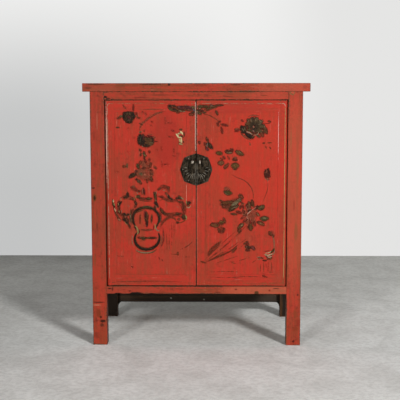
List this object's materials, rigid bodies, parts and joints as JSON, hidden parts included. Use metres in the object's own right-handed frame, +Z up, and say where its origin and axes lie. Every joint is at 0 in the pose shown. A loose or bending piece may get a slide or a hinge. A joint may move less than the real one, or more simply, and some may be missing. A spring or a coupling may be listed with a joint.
{
  "type": "wedding cabinet",
  "caption": "Tall lacquered wooden cabinet on square legs, with painted double doors that turn on wooden pivots and a split round lock plate with lugs for a bar.",
  "frame": {"origin": "on the floor, in the middle of the whole cabinet's width and depth", "axes": "+Z up, the doors face -Y, +X to the right of someone who faces the doors"},
  "size_m": [1.05, 0.6176, 1.237],
  "materials": {
    "frame_lacquer": "worn red lacquer",
    "door_lacquer": "worn red lacquer",
    "black_lacquer": "dull black lacquer",
    "bare_wood": "aged unfinished wood",
    "aged_brass": "dark patina"
  },
  "bodies": {
    "carcass": {"back_apron": "black_lacquer", "back_stile": "bare_wood", "floor_board_back": "bare_wood", "floor_board_front": "bare_wood", "floor_board_middle": "bare_wood", "front_bottom_rail": "frame_lacquer", "front_left_leg": "frame_lacquer", "front_right_leg": "frame_lacquer", "front_top_rail": "frame_lacquer", "left_back_panel": "bare_wood", "left_bottom_rail": "frame_lacquer", "left_floor_batten": "bare_wood", "left_shelf_bearer": "bare_wood", "left_side_panel": "frame_lacquer", "left_top_rail": "frame_lacquer", "lower_door_stop": "bare_wood", "rear_bottom_rail": "bare_wood", "rear_left_leg": "black_lacquer", "rear_right_leg": "black_lacquer", "rear_top_rail": "bare_wood", "right_back_panel": "bare_wood", "right_bottom_rail": "frame_lacquer", "right_floor_batten": "bare_wood", "right_shelf_bearer": "bare_wood", "right_side_panel": "frame_lacquer", "right_top_rail": "frame_lacquer", "shelf_board_back": "bare_wood", "shelf_board_front": "bare_wood", "top_batten_left": "bare_wood", "top_batten_right": "bare_wood", "top_frame_back": "frame_lacquer", "top_frame_front": "frame_lacquer", "top_frame_left": "frame_lacquer", "top_frame_right": "frame_lacquer", "top_panel": "frame_lacquer", "upper_door_stop": "bare_wood"},
    "left_door": {"left_door_bottom_rail": "door_lacquer", "left_door_lower_batten": "bare_wood", "left_door_panel": "door_lacquer", "left_door_top_rail": "door_lacquer", "left_door_upper_batten": "bare_wood", "left_hinge_stile": "door_lacquer", "left_lock_lug": "aged_brass", "left_lock_plate": "aged_brass", "left_meeting_stile": "door_lacquer", "left_plate_nails": "aged_brass"},
    "right_door": {"right_door_bottom_rail": "door_lacquer", "right_door_lower_batten": "bare_wood", "right_door_panel": "door_lacquer", "right_door_top_rail": "door_lacquer", "right_door_upper_batten": "bare_wood", "right_hinge_stile": "door_lacquer", "right_lock_lug": "aged_brass", "right_lock_plate": "aged_brass", "right_meeting_stile": "door_lacquer", "right_plate_nails": "aged_brass"}
  },
  "joints": [
    {"name": "left_door_hinge", "type": "hinge", "parent": "carcass", "child": "left_door", "pos_m": [-0.4095, -0.2777, 0.72325], "axis": [0, 0, -1], "range_deg": [0, 98]},
    {"name": "right_door_hinge", "type": "hinge", "parent": "carcass", "child": "right_door", "pos_m": [0.4095, -0.2777, 0.72325], "axis": [0, 0, 1], "range_deg": [0, 98]}
  ]
}
